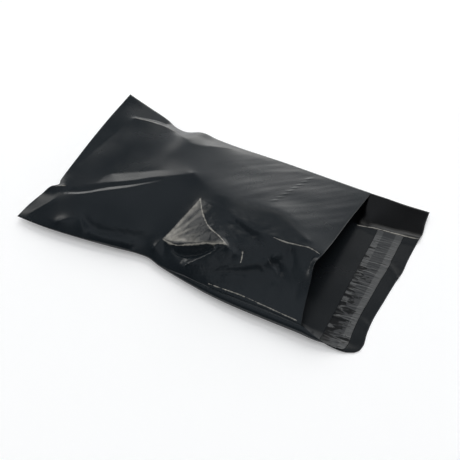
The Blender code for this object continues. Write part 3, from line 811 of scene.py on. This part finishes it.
def film_skin_group():
    """Shared surface of blown film: drawn streaks, small dents and hazy roughness."""
    group, given, result = new_group(
        "film_skin",
        [
            ("Vector", "NodeSocketVector", None),
            ("Scale", "NodeSocketFloat", 1.0),
            ("Roughness", "NodeSocketFloat", 0.2),
            ("Haze", "NodeSocketFloat", 0.08),
            ("Wear", "NodeSocketFloat", 0.0),
        ],
        [("Height", "NodeSocketFloat"), ("Creases", "NodeSocketFloat"), ("Roughness", "NodeSocketFloat")],
    )
    sized = [(0, given.outputs["Vector"]), ("Scale", given.outputs["Scale"])]
    place = wired(group, "ShaderNodeVectorMath", sized, operation="SCALE").outputs[0]
    along = wired(group, "ShaderNodeMapping", [("Vector", place), ("Scale", (40.0, 900.0, 40.0))]).outputs[0]
    dents = noised(group, place, 260.0, 3.0, Roughness=0.55)
    streaks = noised(group, along, 1.0, 2.0)
    haze_and_painted_sheen = ranged(group, noised(group, place, 34.0, 4.0), 0.4, 0.7, 0.0, given.outputs["Haze"])
    folds = noised(group, place, 95.0, 1.5, Distortion=0.7)
    from_crease = computed(group, "ABSOLUTE", computed(group, "SUBTRACT", folds, 0.5))
    ridges = ranged(group, from_crease, 0.0, 0.11, 1.0, 0.0)
    results = {
        "Height": computed(group, "ADD", dents, streaks),
        "Creases": computed(group, "MULTIPLY", ridges, given.outputs["Wear"]),
        "Roughness": computed(group, "ADD", given.outputs["Roughness"], haze_and_painted_sheen),
    }
    for label, source in results.items():
        group.links.new(source, result.inputs[label])
    return group


def new_material(name):
    """A node material, its tree and its Principled shader."""
    material = bpy.data.materials.new(name)
    material.use_nodes = True
    return material, material.node_tree, material.node_tree.nodes["Principled BSDF"]


def painted_highlight_amount(tree, place):
    """How much painted highlight the film gets: fully along its sharpest folds, and as a painted sheen in
    patches on the facet.
    """
    patches = noised(tree, place, 260.0, 3.0)
    limit = ranged(tree, patches, 0.36, 0.62, 0.28)
    reach = stored(tree, "painted_highlight_reach")
    line = ranged(tree, reach, 0.0, limit, 1.0, 0.0, interpolation_type="SMOOTHSTEP")
    amount = ranged(tree, patches, 0.25, 0.7, 0.2, 0.85)
    return computed(tree, "MAXIMUM", line, computed(tree, "MULTIPLY", stored(tree, "haze_and_painted_sheen"), amount))


def film_material(name, color, finish, marked):
    """Glossy charcoal film, hazed in patches. Where marked, it is creased too, with a painted highlight
    along its sharpest folds, painted sheen on the facet and painted shade on the flap's far strip.
    """
    material, tree, shader = new_material(name)
    place = tree.nodes.new("ShaderNodeTexCoord").outputs["Object"]
    skin = wired(
        tree,
        "ShaderNodeGroup",
        [("Vector", place), ("Roughness", finish.film_gloss)],
        node_tree=shared_group("film_skin", film_skin_group),
    )
    normal = bumped(tree, skin.outputs["Height"], 0.25, 0.00005)
    shader.inputs["Base Color"].default_value = (*color, 1)
    if marked:
        tree.links.new(stored(tree, "wear"), skin.inputs["Wear"])
        normal = bumped(tree, skin.outputs["Creases"], 0.5, 0.00012, Normal=normal)
        # Painted highlight along the sharpest folds and painted sheen on the facet, then painted shade on
        # the flap's far strip
        white = mixed(tree, painted_highlight_amount(tree, place), (*color, 1), (*finish.painted_highlight_color, 1))
        shaded = mixed(tree, stored(tree, "shade"), white, (*finish.painted_shade_color, 1))
        tree.links.new(shaded, shader.inputs["Base Color"])
    tree.links.new(normal, shader.inputs["Normal"])
    tree.links.new(skin.outputs["Roughness"], shader.inputs["Roughness"])
    return material


def liner_material(finish):
    """Gray release film: lighter along its edges, darker over the glue, with black slits where it lifts."""
    material, tree, shader = new_material("gray_release_film")
    flat = wired(tree, "ShaderNodeUVMap", uv_map="UVMap").outputs["UV"]
    parts = wired(tree, "ShaderNodeSeparateXYZ", [("Vector", flat)])
    over, along = parts.outputs["X"], parts.outputs["Y"]
    from_middle = computed(tree, "ABSOLUTE", computed(tree, "SUBTRACT", over, 0.5))
    middle_color, edge_color = (*finish.liner_middle_color, 1), (*finish.liner_color, 1)
    colors = mixed(tree, ranged(tree, from_middle, 0.22, 0.25), middle_color, edge_color)
    stretched = wired(tree, "ShaderNodeMapping", [("Vector", flat), ("Scale", (1.5, 38.0, 1.0))]).outputs[0]
    slits = noised(tree, stretched, 1.0, 5.0, Roughness=0.6, Distortion=0.9)
    along_limit = ranged(tree, along, 0.0, 1.0, 0.40, 0.58)
    across_limit = ranged(tree, over, 0.0, 1.0, -0.02, 0.14)
    limit = computed(tree, "ADD", along_limit, across_limit)
    open_part = ranged(tree, computed(tree, "SUBTRACT", slits, limit), 0.0, 0.03)
    color = mixed(tree, open_part, colors, (*finish.liner_slit_color, 1))
    tree.links.new(color, shader.inputs["Base Color"])
    tree.links.new(bumped(tree, slits, 0.6, 0.0006), shader.inputs["Normal"])
    shader.inputs["Roughness"].default_value = 0.32
    return material


def glue_material(finish):
    """Clear rubbery glue with a rippled surface."""
    material, tree, shader = new_material("clear_glue")
    place = tree.nodes.new("ShaderNodeTexCoord").outputs["Object"]
    ripples = noised(tree, place, 600.0, 2.0)
    tree.links.new(bumped(tree, ripples, 0.4, 0.0002), shader.inputs["Normal"])
    shader.inputs["Base Color"].default_value = (*finish.glue_color, 1)
    shader.inputs["Roughness"].default_value = 0.3
    return material


class Pouch:
    """Both panels' places, worked out once and shared by the pieces."""

    made = None

    def __init__(self, sizes):
        self.back_sheet = Sheet(sizes, sizes.back_rows, sizes.back_columns, sizes.flap_rows)
        self.front_sheet = Sheet(sizes, sizes.front_rows, sizes.front_columns)
        self.back = self.back_sheet.places(self.back_sheet.back_heights())
        self.front = self.front_sheet.places(self.front_sheet.front_heights())
        self.front[..., 2] += film_relief(self.front_sheet, self.front)
        low = np.minimum(self.front.min(axis=(0, 1)), self.back.min(axis=(0, 1)))
        high = np.maximum(self.front.max(axis=(0, 1)), self.back.max(axis=(0, 1)))
        middle = (FILM_BOX[0] + FILM_BOX[1]) / 2
        self.origin = Vector((middle.x - (low[0] + high[0]) / 2, middle.y - (low[1] + high[1]) / 2, 0))

    @classmethod
    def get(cls, context):
        """The pouch for the scene's sizes."""
        if cls.made is None:
            cls.made = cls(context.scene.mailer_sizes)
        return cls.made


def on_sheet(places, row, column):
    """The place on a panel at a row and column that may lie between its grid points."""
    low_row = min(int(row), places.shape[0] - 2)
    low_column = min(int(column), places.shape[1] - 2)
    part_row, part_column = row - low_row, column - low_column
    start = places[low_row, low_column : low_column + 2]
    end = places[low_row + 1, low_column : low_column + 2]
    across_start = start[0] * (1 - part_column) + start[1] * part_column
    across_end = end[0] * (1 - part_column) + end[1] * part_column
    return across_start * (1 - part_row) + across_end * part_row


def strip_mesh(sizes, pouch, margin, width, lift, cells, wave):
    """A strip across the flap, a lift above the film, waved in height by a function of its two shares."""
    rows = pouch.back.shape[0] - 1
    columns = pouch.back.shape[1] - 1
    start = sizes.strip_near_inset / sizes.flat_width
    end = 1 - sizes.strip_far_inset / sizes.flat_width
    mesh = bmesh.new()
    flat = mesh.loops.layers.uv.new("UVMap")
    made = bmesh.ops.create_grid(mesh, x_segments=cells[0], y_segments=cells[1], size=0.5)
    for vert in made["verts"]:
        over, along = vert.co.x + 0.5, vert.co.y + 0.5
        from_end = margin + width * (1 - over)
        row = rows - from_end / sizes.flap_length * sizes.flap_rows
        vert.co = on_sheet(pouch.back, row, (start + (end - start) * along) * columns)
        vert.co.z += lift + wave(over, along)
        for loop in vert.link_loops:
            loop[flat].uv = (over, along)
    bmesh.ops.translate(mesh, verts=mesh.verts, vec=pouch.origin)
    return mesh


def level(over, along):
    """No waves: the strip follows the film."""
    return 0.0


def liner_wave(over, along):
    """Height of the liner's wrinkles, which run across the strip and crowd towards the near side."""
    crowd = 0.35 + 0.65 * (1 - along) ** 0.6
    broad = noise.noise((over * 1.1, along * 30, 1.0))
    fine = noise.noise((over * 2.0 + along * 3, along * 80, 4.0))
    return max(0.0, broad + 0.6 * fine) * LINER_WAVE_HEIGHT * crowd


class MAILER_OT_front_film(bpy.types.Operator):
    """Builds the creased front panel"""

    bl_idname = "mailer.front_film"
    bl_label = "Build Front Film"

    def execute(self, context):
        sizes, finish = context.scene.mailer_sizes, context.scene.mailer_finish
        pouch = Pouch.get(context)
        mesh = panel_mesh(pouch, pouch.front)
        materials = [
            film_material("front_film_outside", finish.film_color, finish, True),
            film_material("front_film_inside", finish.inner_color, finish, False),
        ]
        piece = finish_piece(
            "mailer_front_film", mesh, sizes.film_thickness, materials, "bag_film"
        )
        # Painted highlight along the sharpest folds and painted sheen on the facet are kept on the points
        store_on_points(piece.data, "painted_highlight_reach", painted_highlight_reach(pouch.front_sheet, FRONT_FOLDS))
        store_on_points(piece.data, "wear", worn_part(pouch.front_sheet))
        store_on_points(piece.data, "haze_and_painted_sheen", facet_painted_sheen(pouch.front_sheet))
        return {"FINISHED"}


class MAILER_OT_back_film(bpy.types.Operator):
    """Builds the back panel and flap in one film"""

    bl_idname = "mailer.back_film"
    bl_label = "Build Back Film and Flap"

    def execute(self, context):
        sizes, finish = context.scene.mailer_sizes, context.scene.mailer_finish
        pouch = Pouch.get(context)
        mesh = panel_mesh(pouch, pouch.back)
        bmesh.ops.reverse_faces(mesh, faces=mesh.faces)
        materials = [
            film_material("back_film_outside", finish.film_color, finish, False),
            film_material("back_film_inside", finish.inner_color, finish, True),
        ]
        piece = finish_piece(
            "mailer_back_film", mesh, sizes.film_thickness, materials, "bag_film"
        )
        # Painted highlight along the flap's fold and painted shade on its far strip are kept on the points
        store_on_points(piece.data, "painted_highlight_reach", painted_highlight_reach(pouch.back_sheet, BACK_FOLDS))
        store_on_points(piece.data, "shade", painted_shade_strip(pouch.back_sheet))
        return {"FINISHED"}


class MAILER_OT_glue(bpy.types.Operator):
    """Lays the glue strip on the flap"""

    bl_idname = "mailer.glue"
    bl_label = "Lay Glue Strip"

    def execute(self, context):
        sizes, finish = context.scene.mailer_sizes, context.scene.mailer_finish
        margin = sizes.liner_margin + (sizes.liner_width - sizes.glue_width) / 2
        pouch, cells = Pouch.get(context), (8, 60)
        mesh = strip_mesh(sizes, pouch, margin, sizes.glue_width, sizes.glue_lift, cells, level)
        materials = [glue_material(finish)]
        finish_piece(
            "mailer_glue_strip", mesh, sizes.glue_thickness, materials, "glue_strip"
        )
        return {"FINISHED"}


class MAILER_OT_liner(bpy.types.Operator):
    """Lays the wrinkled release liner over the glue"""

    bl_idname = "mailer.liner"
    bl_label = "Lay Release Liner"

    def execute(self, context):
        sizes, finish = context.scene.mailer_sizes, context.scene.mailer_finish
        pouch, cells = Pouch.get(context), (36, 460)
        margin, width = sizes.liner_margin, sizes.liner_width
        mesh = strip_mesh(sizes, pouch, margin, width, sizes.liner_lift, cells, liner_wave)
        materials = [liner_material(finish)]
        finish_piece(
            "mailer_release_liner", mesh, sizes.liner_thickness, materials, "release_liner"
        )
        return {"FINISHED"}


def floor_material(stage):
    """White floor that takes the shadow and shows as white paper, whiter far from the bag."""
    material, tree, shader = new_material("studio_white")
    shader.inputs["Base Color"].default_value = (*stage.floor_color, 1)
    shader.inputs["Roughness"].default_value = 0.7
    path = tree.nodes.new("ShaderNodeLightPath").outputs
    direct = computed(tree, "MAXIMUM", path["Is Camera Ray"], path["Is Glossy Ray"])
    seen = computed(tree, "MAXIMUM", direct, path["Is Transmission Ray"])
    place = tree.nodes.new("ShaderNodeTexCoord").outputs["Object"]
    away = wired(tree, "ShaderNodeVectorMath", [(0, place)], operation="LENGTH").outputs["Value"]
    near_glow, far_glow = stage.floor_glow, stage.far_floor_glow
    level = ranged(tree, away, 0.4, 3.2, near_glow, far_glow, interpolation_type="SMOOTHSTEP")
    shader.inputs["Emission Color"].default_value = (1, 1, 1, 1)
    tree.links.new(computed(tree, "MULTIPLY", seen, level), shader.inputs["Emission Strength"])
    return material


def panel_level(tree, azimuth, elevation, turn_range, height_range, strength):
    """Brightness of one soft light panel, from directions given as angles in degrees."""
    level = strength
    for source, (low, high, blur) in ((azimuth, turn_range), (elevation, height_range)):
        for start, end in ((low - blur, low + blur), (high + blur, high - blur)):
            ramp = ranged(tree, source, start, end, interpolation_type="SMOOTHSTEP")
            level = computed(tree, "MULTIPLY", ramp, level)
    return level


def studio_world():
    """A dim studio whose soft light panels show in the film. To the camera it is plain white."""
    world = bpy.data.worlds.new("studio")
    world.use_nodes = True
    tree = world.node_tree
    place = tree.nodes.new("ShaderNodeTexCoord").outputs["Generated"]
    x, y, z = wired(tree, "ShaderNodeSeparateXYZ", [("Vector", place)]).outputs
    turn = computed(tree, "ARCTAN2", y, computed(tree, "MULTIPLY", x, -1.0))
    azimuth = computed(tree, "DEGREES", turn)
    elevation = computed(tree, "DEGREES", computed(tree, "ARCSINE", z))
    total = (0.0, 0.0, 0.0)
    for turn_range, height_range, strength, tint in LIGHT_PANELS:
        level = panel_level(tree, azimuth, elevation, turn_range, height_range, strength)
        light = wired(tree, "ShaderNodeVectorMath", [(0, tint), ("Scale", level)], operation="SCALE")
        summed = wired(tree, "ShaderNodeVectorMath", [(0, light.outputs[0]), (1, total)], operation="ADD")
        total = summed.outputs[0]
    path = tree.nodes.new("ShaderNodeLightPath").outputs
    background = tree.nodes["Background"]
    seen = mixed(tree, path["Is Camera Ray"], total, (1.0, 1.0, 1.0, 1.0))
    tree.links.new(seen, background.inputs["Color"])
    background.inputs["Strength"].default_value = 1.0
    return world


def lamp(name, direction, strength, size):
    """An area lamp of even brightness, turned to the bag. It isn't seen, nor mirrored in the film."""
    light = bpy.data.lights.new(name, "AREA")
    light.size = size
    light.energy = strength * np.pi * size**2
    made = bpy.data.objects.new(name, light)
    made.location = direction.normalized() * LAMP_DISTANCE
    made.rotation_euler = (-made.location).to_track_quat("-Z", "Y").to_euler()
    made.visible_camera = False
    made.visible_glossy = False
    bpy.context.scene.collection.objects.link(made)


def studio_floor(stage):
    """A wide floor whose rim rises to a low white wall."""
    mesh = bmesh.new()
    verts = [mesh.verts.new((x, 0, z)) for x, z in FLOOR_PROFILE]
    edges = [mesh.edges.new(pair) for pair in zip(verts, verts[1:])]
    bmesh.ops.spin(
        mesh,
        geom=verts + edges,
        axis=(0, 0, 1),
        angle=2 * np.pi,
        steps=72,
        use_merge=True,
        use_normal_flip=False,
    )
    bmesh.ops.remove_doubles(mesh, verts=mesh.verts, dist=0.0001)
    bmesh.ops.recalc_face_normals(mesh, faces=mesh.faces)
    data = bpy.data.meshes.new("studio_floor")
    mesh.to_mesh(data)
    mesh.free()
    data.shade_smooth()
    data.materials.append(floor_material(stage))
    floor = bpy.data.objects.new("studio_floor", data)
    bpy.context.scene.collection.objects.link(floor)


class MAILER_OT_stage(bpy.types.Operator):
    """Makes the pale floor, the studio light and the camera"""

    bl_idname = "mailer.stage"
    bl_label = "Set Stage"

    def execute(self, context):
        scene, stage = context.scene, context.scene.mailer_stage
        studio_floor(stage)
        scene.world = studio_world()
        lamp("key_light", KEY_DIRECTION, stage.key_strength, KEY_SIZE)
        lamp("fill_light", FILL_DIRECTION, stage.fill_strength, FILL_SIZE)
        camera = bpy.data.objects.new("camera", bpy.data.cameras.new("camera"))
        camera.data.lens = stage.lens
        camera.data.clip_start = 0.01
        turn, rise = stage.azimuth, stage.elevation
        back = Vector((np.sin(turn) * np.cos(rise), -np.cos(turn) * np.cos(rise), np.sin(rise)))
        camera.location = Pouch.get(context).origin + LOOK_AT + back * stage.distance
        camera.rotation_euler = (-back).to_track_quat("-Z", "Y").to_euler()
        scene.collection.objects.link(camera)
        scene.camera = camera
        scene.view_settings.view_transform = "Standard"
        return {"FINISHED"}


class MAILER_PT_panel(bpy.types.Panel):
    """Sizes, finish, stage and steps of the mailer bag"""

    bl_label = "Poly Mailer Bag"
    bl_idname = "MAILER_PT_panel"
    bl_space_type = "VIEW_3D"
    bl_region_type = "UI"
    bl_category = "Mailer"

    def draw(self, context):
        scene = context.scene
        for group in (scene.mailer_sizes, scene.mailer_finish, scene.mailer_stage):
            box = self.layout.box()
            for name in group.bl_rna.properties.keys():
                if name not in {"rna_type", "name"}:
                    box.prop(group, name)
        for operator in OPERATORS:
            self.layout.operator(operator.bl_idname)


OPERATORS = (MAILER_OT_back_film, MAILER_OT_front_film, MAILER_OT_glue, MAILER_OT_liner, MAILER_OT_stage)
CLASSES = (MailerSizes, MailerFinish, MailerStage, *OPERATORS, MAILER_PT_panel)


def register():
    for cls in CLASSES:
        bpy.utils.register_class(cls)
    bpy.types.Scene.mailer_sizes = PointerProperty(type=MailerSizes)
    bpy.types.Scene.mailer_finish = PointerProperty(type=MailerFinish)
    bpy.types.Scene.mailer_stage = PointerProperty(type=MailerStage)


def unregister():
    del bpy.types.Scene.mailer_stage
    del bpy.types.Scene.mailer_finish
    del bpy.types.Scene.mailer_sizes
    for cls in reversed(CLASSES):
        bpy.utils.unregister_class(cls)


def main():
    register()
    bpy.ops.mailer.back_film()
    bpy.ops.mailer.front_film()
    bpy.ops.mailer.glue()
    bpy.ops.mailer.liner()
    bpy.ops.mailer.stage()


if __name__ == "__main__":
    main()
